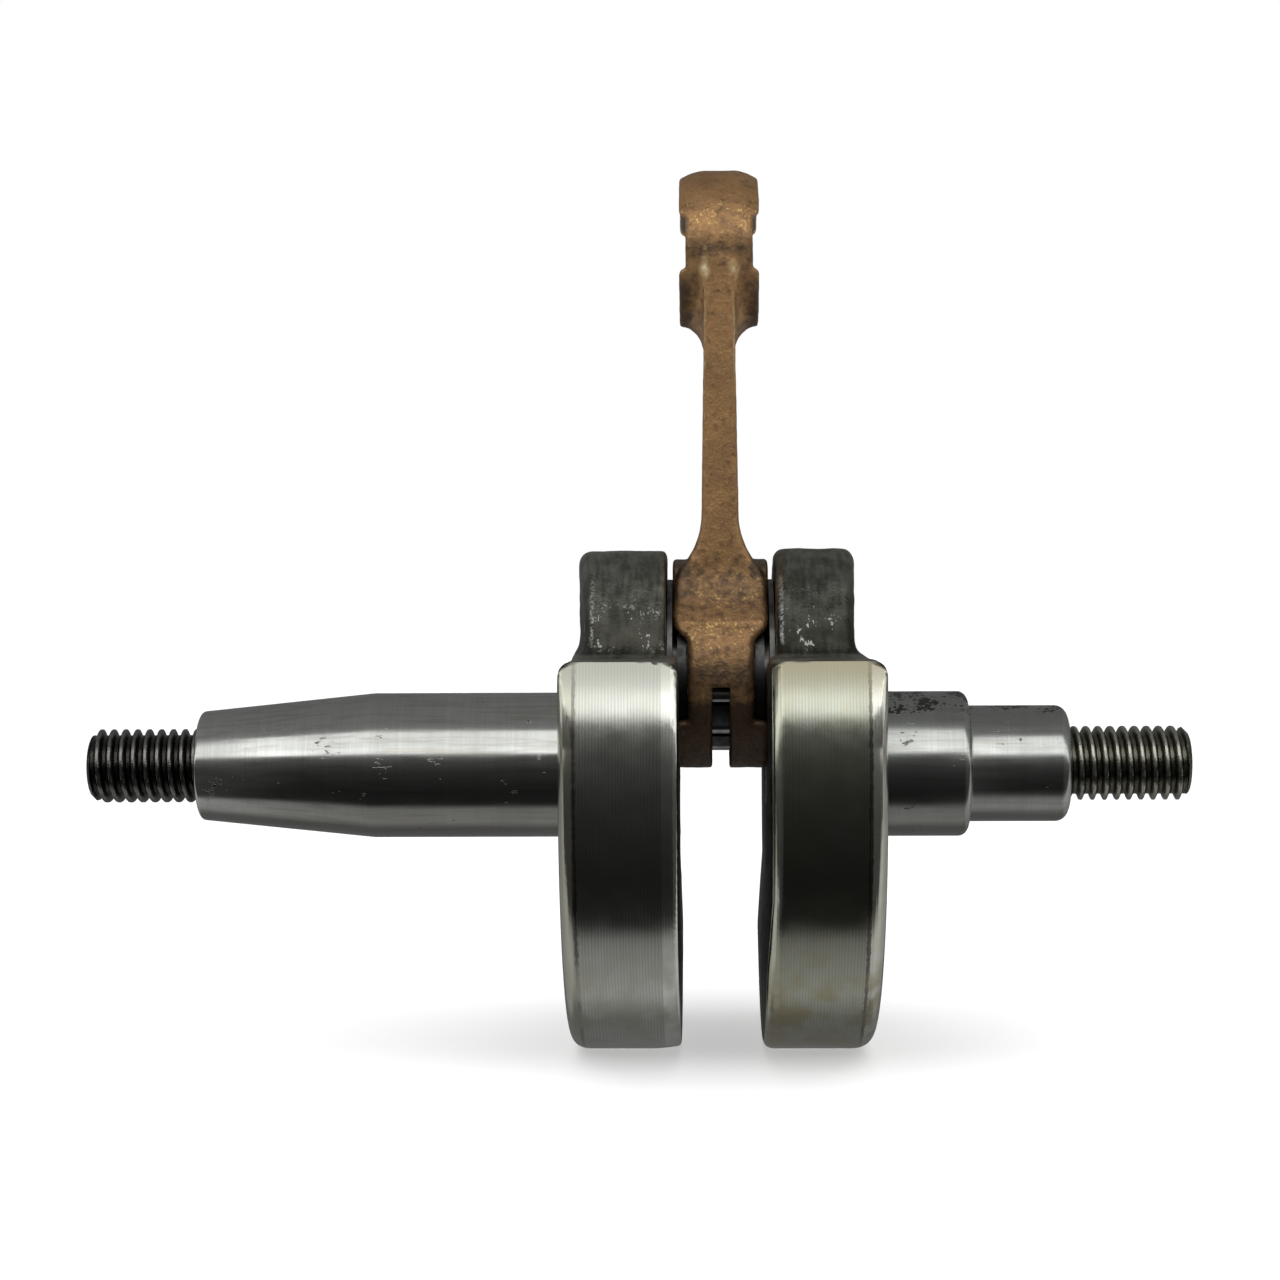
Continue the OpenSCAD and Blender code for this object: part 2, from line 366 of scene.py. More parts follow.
def combine(piece, other, operation):
    """Applies a boolean with another object, which is used up."""
    modifier = piece.modifiers.new("combine", "BOOLEAN")
    modifier.object = other
    modifier.operation = operation
    modifier.solver = "MANIFOLD"
    graph = bpy.context.evaluated_depsgraph_get()
    mesh = bpy.data.meshes.new_from_object(piece.evaluated_get(graph))
    piece.modifiers.clear()
    mesh.name = piece.name
    piece.data = mesh
    bpy.data.objects.remove(other)


def add_attribute(piece, name, values_at):
    """Stores values_at(x, y, z), with the vertices in mm, for the piece's materials to read."""
    mesh = piece.data
    points = np.empty(len(mesh.vertices) * 3, np.float32)
    mesh.vertices.foreach_get("co", points)
    values = values_at(*(points.reshape(-1, 3) / MM).T)
    attribute = mesh.attributes.new(name, "FLOAT", "POINT")
    attribute.data.foreach_set("value", values.astype(np.float32))


# ---------------------------------------------------------------- material making

class Nodes:
    """Builds one material. Each method adds a node and gives its output socket. Lengths in mm."""

    def __init__(self, name):
        self.material = bpy.data.materials.new(name)
        self.material.use_nodes = True
        self.tree = self.material.node_tree
        self.shader = self.tree.nodes["Principled BSDF"]
        place = self.tree.nodes.new("ShaderNodeTexCoord").outputs["Object"]
        self.place = self.vector("MULTIPLY", place, (1 / MM, 1 / MM, 1 / MM))

    def put(self, value, socket):
        if isinstance(value, bpy.types.NodeSocket):
            self.tree.links.new(value, socket)
        else:
            socket.default_value = value

    def vector(self, operation, a, b):
        node = self.tree.nodes.new("ShaderNodeVectorMath")
        node.operation = operation
        self.put(a, node.inputs[0])
        self.put(b, node.inputs[1])
        return node.outputs[0]

    def math(self, operation, a, b=0.0):
        node = self.tree.nodes.new("ShaderNodeMath")
        node.operation = operation
        self.put(a, node.inputs[0])
        self.put(b, node.inputs[1])
        return node.outputs[0]

    def slice(self, axis, low, high, soft):
        """1 between two places along an axis, fading to 0 outside them."""
        up = self.ramp(self.axis(axis), low - soft, low + soft)
        return self.math("MULTIPLY", up, self.ramp(self.axis(axis), high - soft, high + soft, 1, 0))

    def noise(self, size, detail=2.0, stretch=(1, 1, 1), roughness=0.5):
        """Noise from 0 to 1 whose features are about size across, times stretch along each axis."""
        node = self.tree.nodes.new("ShaderNodeTexNoise")
        scale = [1 / (size * s) for s in stretch]
        self.put(self.vector("MULTIPLY", self.place, scale), node.inputs["Vector"])
        node.inputs["Scale"].default_value = 1
        node.inputs["Detail"].default_value = detail
        node.inputs["Roughness"].default_value = roughness
        return node.outputs["Fac"]

    def attribute(self, name):
        node = self.tree.nodes.new("ShaderNodeAttribute")
        node.attribute_name = name
        return node.outputs["Fac"]

    def axis(self, name):
        node = self.tree.nodes.new("ShaderNodeSeparateXYZ")
        self.put(self.place, node.inputs[0])
        return node.outputs[name]

    def ramp(self, value, low, high, to_low=0.0, to_high=1.0):
        """Goes smoothly from to_low to to_high as value goes from low to high."""
        node = self.tree.nodes.new("ShaderNodeMapRange")
        node.interpolation_type = "SMOOTHSTEP"
        self.put(value, node.inputs["Value"])
        node.inputs["From Min"].default_value = low
        node.inputs["From Max"].default_value = high
        node.inputs["To Min"].default_value = to_low
        node.inputs["To Max"].default_value = to_high
        return node.outputs["Result"]

    def mix(self, factor, a, b):
        """Mixes two colours, or two values given as greys."""
        node = self.tree.nodes.new("ShaderNodeMix")
        node.data_type = "RGBA"
        self.put(factor, node.inputs[0])
        for value, socket in ((a, node.inputs[6]), (b, node.inputs[7])):
            self.put(value if isinstance(value, bpy.types.NodeSocket) else (*value, 1), socket)
        return node.outputs[2]

    def blend(self, factor, a, b):
        """Mixes two values."""
        node = self.tree.nodes.new("ShaderNodeMix")
        self.put(factor, node.inputs[0])
        self.put(a, node.inputs[2])
        self.put(b, node.inputs[3])
        return node.outputs[0]

    def bump(self, height, depth, normal=None):
        """A bump whose height, from 0 to 1, is depth mm at most."""
        node = self.tree.nodes.new("ShaderNodeBump")
        self.put(height, node.inputs["Height"])
        node.inputs["Distance"].default_value = depth * MM
        node.inputs["Strength"].default_value = 1
        if normal is not None:
            self.put(normal, node.inputs["Normal"])
        return node.outputs["Normal"]

    def finish(self, colour, roughness, normal, metallic=1.0):
        self.put(colour, self.shader.inputs["Base Color"])
        self.put(roughness, self.shader.inputs["Roughness"])
        self.put(normal, self.shader.inputs["Normal"])
        self.shader.inputs["Metallic"].default_value = metallic
        return self.material


def shade(colour, share):
    return tuple(share * part for part in colour)


def lathe_lines(nodes, pitch):
    """Grooves round the shaft that a turning tool leaves, from 0 to 1."""
    wander = nodes.math("MULTIPLY", nodes.noise(pitch * 6, 2, (1, 8, 8)), 9)
    phase = nodes.math("ADD", nodes.math("MULTIPLY", nodes.axis("X"), 2 * math.pi / pitch), wander)
    wave = nodes.math("MULTIPLY", nodes.math("ADD", nodes.math("SINE", phase), 1.0), 0.5)
    return nodes.ramp(nodes.blend(0.45, wave, nodes.noise(pitch, 2, (1, 60, 60))), 0.2, 0.8)


# Colours of the forged skin, from its lobes down to its flat faces
# Painted sheen: the lobe tops are coloured lighter to stand for the light they catch
SCALE_TOP_SHEEN = ((0.13, 0.134, 0.112), (0.28, 0.285, 0.245))
# Painted shade: the middle of the lobes is coloured darker to stand for shade
SCALE_MIDDLE_SHADE = ((0.042, 0.042, 0.034), (0.1, 0.1, 0.082))
SCALE_PLAIN = ((0.075, 0.076, 0.068), (0.15, 0.152, 0.14))
# Painted highlight along the fillet at the foot of the lobe
FILLET_HIGHLIGHT_TONE = (0.34, 0.34, 0.3)
# Painted glints: bright flecks where bumps would catch the lamp
FLECK_GLINT_TONE = (0.4, 0.4, 0.37)
# Painted highlight along the lobe's rounded edge
EDGE_HIGHLIGHT_TONE = (0.5, 0.5, 0.48)
# Dark line where the rim turns into its outer edge strip
EDGE_LINE_TONE = (0.09, 0.085, 0.075)


def forged_colour(nodes, web, across, grit, uneven):
    """Black scale, painted lighter as sheen at the lobe tops and darker as shade in their middle, with
    painted glint flecks, a painted highlight on the fillet and one along the lobe's edge. Also gives
    where the glint flecks are.
    """
    def tone(pair):
        share = web["scale_share"]
        return nodes.mix(uneven, shade(pair[0], share), shade(pair[1], share))

    height = nodes.axis("Z")
    painted_sheen = tone(SCALE_TOP_SHEEN)
    darkened = tone(SCALE_MIDDLE_SHADE)
    plain = tone(SCALE_PLAIN)
    # Painted light: lighter as sheen towards the top of the lobe, darker as shade in its middle
    scale = nodes.mix(nodes.ramp(height, 13.5, 20.5), darkened, painted_sheen)
    scale = nodes.mix(nodes.ramp(height, 8.5, 10.5), plain, scale)
    # A painted highlight line on the fillet where the lobe meets the shoulder
    fillet = nodes.slice("Z", SHOULDER_Z - 0.3, SHOULDER_Z + 0.35, 0.2)
    scale = nodes.mix(nodes.math("MULTIPLY", fillet, 0.7), scale, FILLET_HIGHLIGHT_TONE)

    # Painted glint flecks, mostly on the lower lobe where the lamp's highlight falls
    clusters = nodes.blend(0.55, nodes.noise(0.26, 4, (1, 1, 1.6)), nodes.noise(2.2, 2))
    glint_flecks = nodes.ramp(clusters, 0.575, 0.62, 0, 0.8)
    glint_flecks = nodes.math("MULTIPLY", glint_flecks, nodes.ramp(height, 15, 20, 1, 0.25))
    glint_flecks = nodes.math("MULTIPLY", glint_flecks, nodes.ramp(height, 9, 11, 0.12, 1))
    scale = nodes.mix(glint_flecks, scale, FLECK_GLINT_TONE)

    # A painted highlight streak down the lobe's rounded edge
    lobe_side = nodes.slice("Z", SHOULDER_Z + 1.5, 19.5, 0.8)
    edge_highlight = nodes.math("MULTIPLY", lobe_side, nodes.ramp(grit, 0.42, 0.56))
    from_highlight = nodes.math("ABSOLUTE", nodes.math("SUBTRACT", across, web["highlight_at"]))
    edge_highlight = nodes.math("MULTIPLY", edge_highlight, nodes.ramp(from_highlight, 0.05, 0.32, 0.9, 0))
    return nodes.mix(edge_highlight, scale, EDGE_HIGHLIGHT_TONE), glint_flecks


def turned_colour(nodes, web, across, steel, stain_colour, lines, patches, ragged):
    """Steel rim with lathe lines and its two edge strips, the inner one and the right web's outer one
    painted lighter as highlights, and stains. Also gives the lathe lines.
    """
    cut = lathe_lines(nodes, 0.3)
    bright = nodes.mix(nodes.math("MULTIPLY", cut, lines), shade(steel, 1.08), shade(steel, 0.7))
    strip_edge = WEB_IN + web["step"][1] + web["strip"]
    # The bevel strip along the rim's inner edge is smoother steel, and is also coloured lighter as a
    # painted highlight
    inner_strip = nodes.ramp(across, strip_edge - 0.05, strip_edge + 0.05, 1, 0)
    bright = nodes.mix(inner_strip, bright, shade(steel, 1.35))

    line_at = WEB_OUT - web["edge"] * 0.85
    # The outer edge strip is faced steel; on the right web it is coloured much lighter than the rim
    # steel as a painted highlight
    outer_edge = nodes.ramp(across, line_at - 0.1, line_at + 0.1)
    edge_tone_and_highlight = nodes.mix(patches, web["edge_tone_and_highlight"], shade(web["edge_tone_and_highlight"], 0.85))
    bright = nodes.mix(outer_edge, bright, edge_tone_and_highlight)
    # A dark line where the rim turns into the outer edge strip
    from_line = nodes.math("ABSOLUTE", nodes.math("SUBTRACT", across, line_at))
    dark_line = nodes.ramp(nodes.math("ADD", from_line, ragged), 0.1, 0.24, 0.8, 0)
    bright = nodes.mix(dark_line, bright, EDGE_LINE_TONE)

    height = nodes.axis("Z")
    stain = nodes.ramp(nodes.noise(3.2, 5, (1, 1.5, 1.5)), 0.38, 0.62, 0, 0.9)
    low = nodes.ramp(height, -22, -15, 1, 0.25)
    bright = nodes.mix(nodes.math("MULTIPLY", stain, low), bright, stain_colour)
    film = nodes.ramp(height, 6.6, 10.9, 0, 0.75)
    return nodes.mix(film, bright, shade(stain_colour, 0.7)), cut


def web_material(name, web, steel, stain_colour, lines):
    """Forged web with a turned rim: black scale, and steel where the tool has cut."""
    nodes = Nodes(name)
    ragged = nodes.math("MULTIPLY", nodes.math("SUBTRACT", nodes.noise(0.6, 3), 0.5), 0.4)
    turned = nodes.math("ADD", nodes.attribute("turned"), nodes.math("MULTIPLY", ragged, 0.4))
    turned = nodes.ramp(turned, -0.05, 0.3)
    faced = nodes.ramp(nodes.math("ADD", nodes.attribute("faced"), ragged), -0.05, 0.15)
    grit = nodes.noise(0.3, 3)
    patches = nodes.noise(2.4, 4)
    streaks = nodes.noise(0.5, 4, (1, 5, 5))
    uneven = nodes.ramp(nodes.blend(0.5, streaks, patches), 0.35, 0.65)
    across = nodes.math("MULTIPLY", nodes.axis("X"), web["side"])

    scale, glint_flecks = forged_colour(nodes, web, across, grit, uneven)
    # Painted shade: the machined relief round the crankpin is coloured as a darkened copy of the rim
    # steel
    relief_shade = nodes.mix(patches, shade(steel, 0.22), shade(steel, 0.4))
    bright, cut = turned_colour(nodes, web, across, steel, stain_colour, lines, patches, ragged)
    colour = nodes.mix(turned, nodes.mix(faced, scale, relief_shade), bright)

    rough = nodes.ramp(streaks, 0.3, 0.7, 0.42, 0.56)
    rough = nodes.blend(faced, nodes.blend(glint_flecks, rough, 0.2), 0.3)
    roughness = nodes.blend(turned, rough, nodes.ramp(patches, 0.3, 0.7, *web["shine"]))
    lumpy = nodes.blend(0.5, grit, nodes.noise(1.1, 2))
    height = nodes.math("MULTIPLY", lumpy, nodes.math("SUBTRACT", 1.0, turned))
    height = nodes.math("MULTIPLY", height, nodes.blend(faced, 1.0, 0.35))
    normal = nodes.bump(height, 0.12)
    normal = nodes.bump(nodes.math("MULTIPLY", cut, turned), 0.004, normal)
    return nodes.finish(colour, roughness, normal)


STREAK_TONE = (0.29, 0.265, 0.22)
CRUST_TONE = (0.05, 0.038, 0.027)
UNDERSIDE_SHADE_TONE = (0.17, 0.16, 0.14)


def ground_material(name, tone, shine, crust, film_on_top):
    """Ground journal: fine lines, small dark marks, a crust of old oil on its top, and painted shade on
    its underside.
    """
    nodes = Nodes(name)
    lines = nodes.noise(0.07, 2, (1, 150, 150))
    bands = nodes.noise(1.6, 2, (1, 30, 30))
    film = nodes.noise(6, 3)
    colour = nodes.mix(bands, shade(tone, 0.8), tone)
    colour = nodes.mix(nodes.ramp(film, 0.4, 0.75, 0, 0.4), colour, shade(tone, 0.66))
    streaks = nodes.noise(0.5, 4, (16, 1, 1))
    colour = nodes.mix(nodes.ramp(streaks, 0.46, 0.66, 0, 0.35), colour, STREAK_TONE)
    colour = nodes.mix(nodes.ramp(lines, 0.35, 0.7, 0, 0.3), colour, shade(tone, 0.6))
    marks = nodes.blend(0.5, nodes.noise(0.3, 4, (2.5, 1, 1)), nodes.noise(3, 2))
    dirt = nodes.ramp(marks, 0.64, 0.68, 0, 0.7)
    top_film = nodes.ramp(nodes.axis("Z"), 2.5, 5, 0, film_on_top)
    colour = nodes.mix(top_film, colour, shade(tone, 0.4))
    top = nodes.ramp(nodes.axis("Z"), 3, 6.3, -0.2, crust)
    clusters = nodes.blend(0.5, nodes.noise(0.35, 4), nodes.noise(2.2, 2))
    crusty = nodes.ramp(nodes.math("ADD", clusters, top), 0.58, 0.64, 0, 0.9)
    dirty = nodes.math("MAXIMUM", dirt, crusty)
    colour = nodes.mix(dirty, colour, CRUST_TONE)
    # Painted shade on the journal's underside
    under = nodes.ramp(nodes.axis("Z"), -6, -2.5, 0.65, 0)
    colour = nodes.mix(under, colour, UNDERSIDE_SHADE_TONE)
    clean_rough = nodes.ramp(film, 0.3, 0.7, *shine)
    height = nodes.math("ADD", nodes.math("MULTIPLY", lines, 0.05), dirty)
    return nodes.finish(colour, nodes.blend(dirty, clean_rough, 0.4), nodes.bump(height, 0.02))


def thread_material(name, crest, root):
    """Cut thread: darker roots and lighter crests, told apart by their distance from the axis."""
    nodes = Nodes(name)
    radial = nodes.vector("MULTIPLY", nodes.place, (0, 1, 1))
    node = nodes.tree.nodes.new("ShaderNodeVectorMath")
    node.operation = "LENGTH"
    nodes.put(radial, node.inputs[0])
    uneven = nodes.noise(0.6, 3)
    depth = nodes.math("ADD", node.outputs["Value"], nodes.math("MULTIPLY", uneven, 0.3))
    colour = nodes.mix(nodes.ramp(depth, 3.55, 3.98), root, crest)
    grime = nodes.ramp(nodes.noise(1.7, 3), 0.5, 0.75, 0, 0.6)
    colour = nodes.mix(grime, colour, shade(crest, 0.4))
    roughness = nodes.ramp(uneven, 0.3, 0.7, 0.2, 0.36)
    return nodes.finish(colour, roughness, nodes.bump(nodes.noise(0.16, 2), 0.02))


COPPER = ((0.4, 0.225, 0.095), (0.31, 0.175, 0.08))
COPPER_GLINT = (0.66, 0.45, 0.16)
COPPER_PIT = (0.12, 0.072, 0.04)
OIL_AND_SHADE_TONE = (0.075, 0.05, 0.032)
COPPER_SHEEN_TONE = (0.6, 0.42, 0.2)
COPPER_HIGHLIGHT_TONE = (1, 0.84, 0.56)
BARE_STEEL = (0.17, 0.18, 0.165)


def copper_material():
    """Copper-flashed forging: grainy brown copper with small painted glints and painted highlights on
    spots and edges under the eye, painted shade with some old oil low on the big end, beside the shank
    and in bands, and bare steel where it was ground."""
    nodes = Nodes("copper_flash")
    grain = nodes.noise(0.28, 3)
    lumpy = nodes.noise(0.8, 4)
    patches = nodes.noise(2.6, 4)
    copper = nodes.mix(nodes.ramp(patches, 0.3, 0.7), *COPPER)
    clusters = nodes.ramp(nodes.noise(1.5, 3), 0.42, 0.6)
    # Painted glints, strongest in bands on the big end and the eye where the lamp's highlight falls
    glints = nodes.math("MULTIPLY", nodes.ramp(grain, 0.54, 0.64), clusters)
    big_end = nodes.slice("Z", THROW + 2, THROW + 9, 2.5)
    eye = nodes.slice("Z", 54.5, 57, 1)
    shoulders = nodes.math("ADD", big_end, eye)
    glints = nodes.math("MULTIPLY", glints, nodes.ramp(shoulders, 0, 1, 0.3, 1))
    copper = nodes.mix(glints, copper, COPPER_GLINT)
    copper = nodes.mix(nodes.ramp(lumpy, 0.52, 0.72, 0, 0.55), copper, COPPER_PIT)
    patchy = nodes.math("SUBTRACT", lumpy, 0.5)
    # Painted shade with some old oil: low on the big end, beside the shank, on the side blocks and in
    # bands
    darkened = nodes.ramp(nodes.math("ADD", nodes.attribute("shade_and_oil"), patchy), -0.1, 0.7, 0, 0.9)
    copper = nodes.mix(darkened, copper, OIL_AND_SHADE_TONE)
    # Painted highlights: pale glint spots under the eye and light lines down the shank's edges
    highlight_share = nodes.math("ADD", nodes.attribute("painted_sheen"), patchy)
    copper = nodes.mix(nodes.ramp(highlight_share, -0.15, 0.2, 0, 0.7), copper, COPPER_SHEEN_TONE)
    copper = nodes.mix(nodes.ramp(highlight_share, 0.15, 0.45, 0, 0.9), copper, COPPER_HIGHLIGHT_TONE)
    ragged = nodes.math("MULTIPLY", nodes.math("SUBTRACT", grain, 0.5), 0.15)
    bare = nodes.ramp(nodes.math("ADD", nodes.attribute("ground"), ragged), -0.02, 0.03)
    colour = nodes.mix(bare, copper, BARE_STEEL)
    roughness = nodes.blend(bare, nodes.ramp(grain, 0.35, 0.68, 0.52, 0.33), 0.26)
    height = nodes.math("MULTIPLY", nodes.blend(0.5, grain, lumpy), nodes.math("SUBTRACT", 1.0, bare))
    return nodes.finish(colour, roughness, nodes.bump(height, 0.12), metallic=0.6)


def bearing_material(name, colour, dark, roughness):
    """Hard steel under a film of oil, for the pin, cage, rollers and washers."""
    nodes = Nodes(name)
    film = nodes.noise(1.4, 3)
    lines = nodes.noise(0.08, 2, (1, 80, 80))
    tone = nodes.mix(nodes.ramp(film, 0.35, 0.7), colour, dark)
    rough = nodes.ramp(film, 0.3, 0.7, roughness, roughness + 0.12)
    return nodes.finish(tone, rough, nodes.bump(lines, 0.003))


# ---------------------------------------------------------------- crank halves

SHOULDER_Z = 11.2
RELIEF_R = 13.3
PITCH = 1.25
THREAD_CREST_R = 3.83
THREAD_ROOT_R = 3.2
ROWS_PER_PITCH = 14
CREST_SHARE, FLANK_SHARE = 0.22, 0.62
TAPER_SMALL_R = JOURNAL_R - (LEFT_THREAD_X - LEFT_TAPER_X) / 10      # 1:5 on the diameter
KEY_WIDTH, KEY_D, KEY_DEPTH = 3, 10, 2.5
SEGMENTS = 128
WEB_GRID = (0.24, 0.34, 0.34)
SHARP_WEB_ANGLE = math.radians(38)

# What differs between the two webs, in mm. "step" is how far the inner face stands back above STEP_Z,
# at the near and the far side; "strip" and "strip_drop" are the bevel along the rim's inner edge.
# Each web's last key places the painted highlight streak down its lobe's edge, across the web.
LEFT_WEB = {
    "side": -1, "step": (0, 0.35), "edge": 1.8, "strip": 1.25, "strip_drop": 0.3,
    "crest": 14.75, "draft": 0.11, "lobe_edge": 1.6, "lobe_inner_edge": 0.7, "crown": 0.1,
    "shine": (0.15, 0.2), "edge_tone_and_highlight": (0.52, 0.51, 0.43), "scale_share": 1.0, "highlight_at": 12.9,
}
RIGHT_WEB = {
    "side": 1, "step": (0.25, 0.7), "edge": 2.0, "strip": 0.5, "strip_drop": 0.5,
    "crest": 13.85, "draft": 0.055, "lobe_edge": 1.3, "lobe_inner_edge": 1.5, "crown": 0.25,
    "shine": (0.15, 0.2), "edge_tone_and_highlight": (0.74, 0.74, 0.66), "scale_share": 0.8,
    "highlight_at": LOBE_IN + 0.6,
}
STEP_Z = (-19, -11.5)


def web_solid(web):
    """The counterweight sector and the lobe round the crankpin, with their relief and pin hole."""
    def distance(x, y, z):
        u = web["side"] * x
        from_axis = np.hypot(y, z)
        from_pin = np.hypot(y, z - THROW)
        above_step = np.interp(z, STEP_Z, (0, 1))
        inner = WEB_IN + above_step * np.interp(y, (-RIM_R, RIM_R), web["step"])
        strip_edge = WEB_IN + web["strip"] + above_step * web["step"][1]
        slab = smooth_max(u - WEB_OUT, z - SHOULDER_Z, 1.7)
        slab = smooth_max(slab, inner - u, np.interp(z, (SHOULDER_Z - 3, SHOULDER_Z - 1), (0.2, 1.2)))
        slope = math.atan2(web["strip_drop"], web["strip"])
        strip = (from_axis - RIM_R) * math.cos(slope) + (strip_edge - u) * math.sin(slope)
        rim_edge = np.interp(z, (SHOULDER_Z - 8, SHOULDER_Z - 1), (web["edge"] * 1.17, 0.25))
        rim_edge = np.where(u > WEB_IN + 4, rim_edge, 0.3)
        disc = smooth_max(slab, from_axis - RIM_R, rim_edge)
        disc = smooth_max(disc, strip, 0.45)
        outline = np.where(z > THROW, from_pin, np.abs(y)) - LOBE_R
        outline = outline - np.interp(z, (THROW, THROW + 9), (0, web["crown"]))
        outer_face = web["crest"] - web["draft"] * np.sqrt(y * y + 2)
        lobe = smooth_max(outline, u - outer_face, web["lobe_edge"])
        lobe = smooth_max(lobe, LOBE_IN - u, web["lobe_inner_edge"])
        lobe = np.maximum(lobe, -z)
        fillet = np.interp(z, (SHOULDER_Z - 3, SHOULDER_Z - 0.5), (0.1, 2.0))
        body = smooth_min(disc, lobe, fillet)
        relief = np.maximum(from_pin - RELIEF_R, u - LOBE_IN)
        pin_hole = np.maximum(from_pin - PIN_R, u - PIN_HOLE_END)
        body = smooth_max(body, -relief, 0.3)
        return smooth_max(body, -pin_hole, 0.2)
    return distance


def turned_share(web):
    """How far inside the turned rim a point is, in mm: negative on the forged surfaces."""
    def value(x, y, z):
        u = web["side"] * x
        rim = np.hypot(y, z) - np.where(u < WEB_IN + 4, RIM_R - 0.8, RIM_R - web["edge"] - 0.9)
        across = (u - WEB_IN) / (WEB_OUT - WEB_IN) * 2 - 1
        arch = SHOULDER_Z + 0.3 - 1.3 * np.abs(across) ** 3.5
        return np.minimum(rim * 2, arch - z)
    return value


def faced_share(web):
    """Positive on the relief round the crankpin, which is machined and painted dark as shade in its
    recess.
    """
    def value(x, y, z):
        return np.minimum(RELIEF_R + 0.2 - np.hypot(y, z - THROW), LOBE_IN + 0.2 - web["side"] * x)
    return value


def forged_web(web, name, material):
    distance = web_solid(web)
    low = (WEB_IN - 1, -RIM_R - 1, -RIM_R - 1)
    high = (WEB_OUT + 1, RIM_R + 1, THROW + LOBE_R + 1)
    if web["side"] < 0:
        low, high = (-high[0], low[1], low[2]), (-low[0], high[1], high[2])
    points, quads = surface_net(distance, low, high, WEB_GRID)
    points, normals = settled(distance, points)
    rough = np.clip(0.3 - turned_share(web)(*points.T), 0, 1)
    machined = np.abs(web["side"] * points[:, 0] - LOBE_IN) < 0.05
    rough[machined] = 0
    rough *= np.clip(RIM_R - 2.5 - np.hypot(points[:, 1], points[:, 2]), 0, 1)
    swell = 0.08 * lumps(points, 2.1) + 0.04 * lumps(points + 50, 0.9)
    points += normals * (rough * swell)[:, None]
    return mesh_object(name, points, quads, material)


def arc(x, r, radius, start, end, steps=6):
    """Points of a rounded edge about (x, r), from one angle to another, in degrees."""
    turn = np.radians(np.linspace(start, end, steps + 1))
    return [(x + radius * math.cos(t), r + radius * math.sin(t)) for t in turn]


def thread_rows(start, end, side, chamfer):
    """Rows of a right-hand thread: each is a place along the shaft and a radius at each angle."""
    angle = np.arange(SEGMENTS) * 2 * math.pi / SEGMENTS
    rows = []
    for x in np.arange(start, end - 0.02, PITCH / ROWS_PER_PITCH):
        turn = side * x / PITCH - angle / (2 * math.pi)
        flank = np.clip((np.abs(2 * (turn % 1) - 1) - CREST_SHARE) / FLANK_SHARE, 0, 1)
        ridge = flank * flank * (3 - 2 * flank)
        radius = THREAD_ROOT_R + (THREAD_CREST_R - THREAD_ROOT_R) * ridge
        rows.append((x, np.minimum(radius, THREAD_CREST_R - chamfer + (end - x))))
    return rows


def lathe(name, rows, side, slots):
    """Closed solid round the X axis. Each row is a place and a radius, or a place and a radius at each
    angle. slots numbers the material of each band between two rows."""
    angle = np.arange(SEGMENTS) * 2 * math.pi / SEGMENTS
    rings = []
    for x, radius in rows:
        radius = radius * np.ones(SEGMENTS)
        along = np.full(SEGMENTS, side * x)
        rings.append(np.stack([along, radius * np.cos(angle), radius * np.sin(angle)], 1))
    points = np.concatenate(rings)
    faces, numbers = [], []
    ahead = np.roll(np.arange(SEGMENTS), -1)
    for row in range(len(rows) - 1):
        a, b = row * SEGMENTS + np.arange(SEGMENTS), row * SEGMENTS + ahead
        quad = np.stack([a, b, b + SEGMENTS, a + SEGMENTS], 1)
        faces += (quad if side > 0 else quad[:, ::-1]).tolist()
        numbers += [slots[row]] * SEGMENTS
    first, last = list(range(SEGMENTS)), list(range(len(points) - SEGMENTS, len(points)))
    faces += [first[::-1], last] if side > 0 else [first, last[::-1]]
    numbers += [slots[0], slots[-1]]
    mesh = bpy.data.meshes.new(name)
    mesh.from_pydata((points * MM).tolist(), [], faces)
    mesh.polygons.foreach_set("material_index", numbers)
    mesh.shade_smooth()
    piece = bpy.data.objects.new(name, mesh)
    bpy.context.collection.objects.link(piece)
    return piece


def shaft(name, side, body_rows, thread_x, end_x):
    """One shaft end: plain rows, the thread and a centre-drilled face. It starts inside the web."""
    start = [(WEB_OUT - 1, JOURNAL_R + 0.4), (WEB_OUT + 0.02, JOURNAL_R + 0.4)]
    start += arc(WEB_OUT + 0.42, JOURNAL_R + 0.4, 0.4, 180, 270, 4)[1:]
    start += [(WEB_OUT + 0.5, JOURNAL_R)]
    rows = start + body_rows
    thread = thread_rows(thread_x, end_x, side, 0.75)
    face = [(end_x, THREAD_CREST_R - 0.85), (end_x, 2.05), (end_x - 0.1, 1.95)]
    drill = face + [(end_x - 1.35, 1.25), (end_x - 3.4, 1.22), (end_x - 3.8, 0.3)]
    slots = [1] * len(rows) + [2] * len(thread) + [1] * (len(drill) - 1)
    return lathe(name, rows + thread + drill, side, slots)


def drive_rows():
    """Main journal, shoulder with a rounded edge, and the smaller drive journal."""
    rows = arc(DRIVE_X - 0.95, JOURNAL_R - 0.95, 0.95, 90, 8)
    rows += [(DRIVE_X, DRIVE_R + 0.2), (DRIVE_X + 0.06, DRIVE_R + 0.06), (DRIVE_X + 0.2, DRIVE_R)]
    rows += arc(RIGHT_THREAD_X - 1.2, DRIVE_R - 1.2, 1.2, 90, 0)
    return rows + [(RIGHT_THREAD_X, THREAD_ROOT_R)]


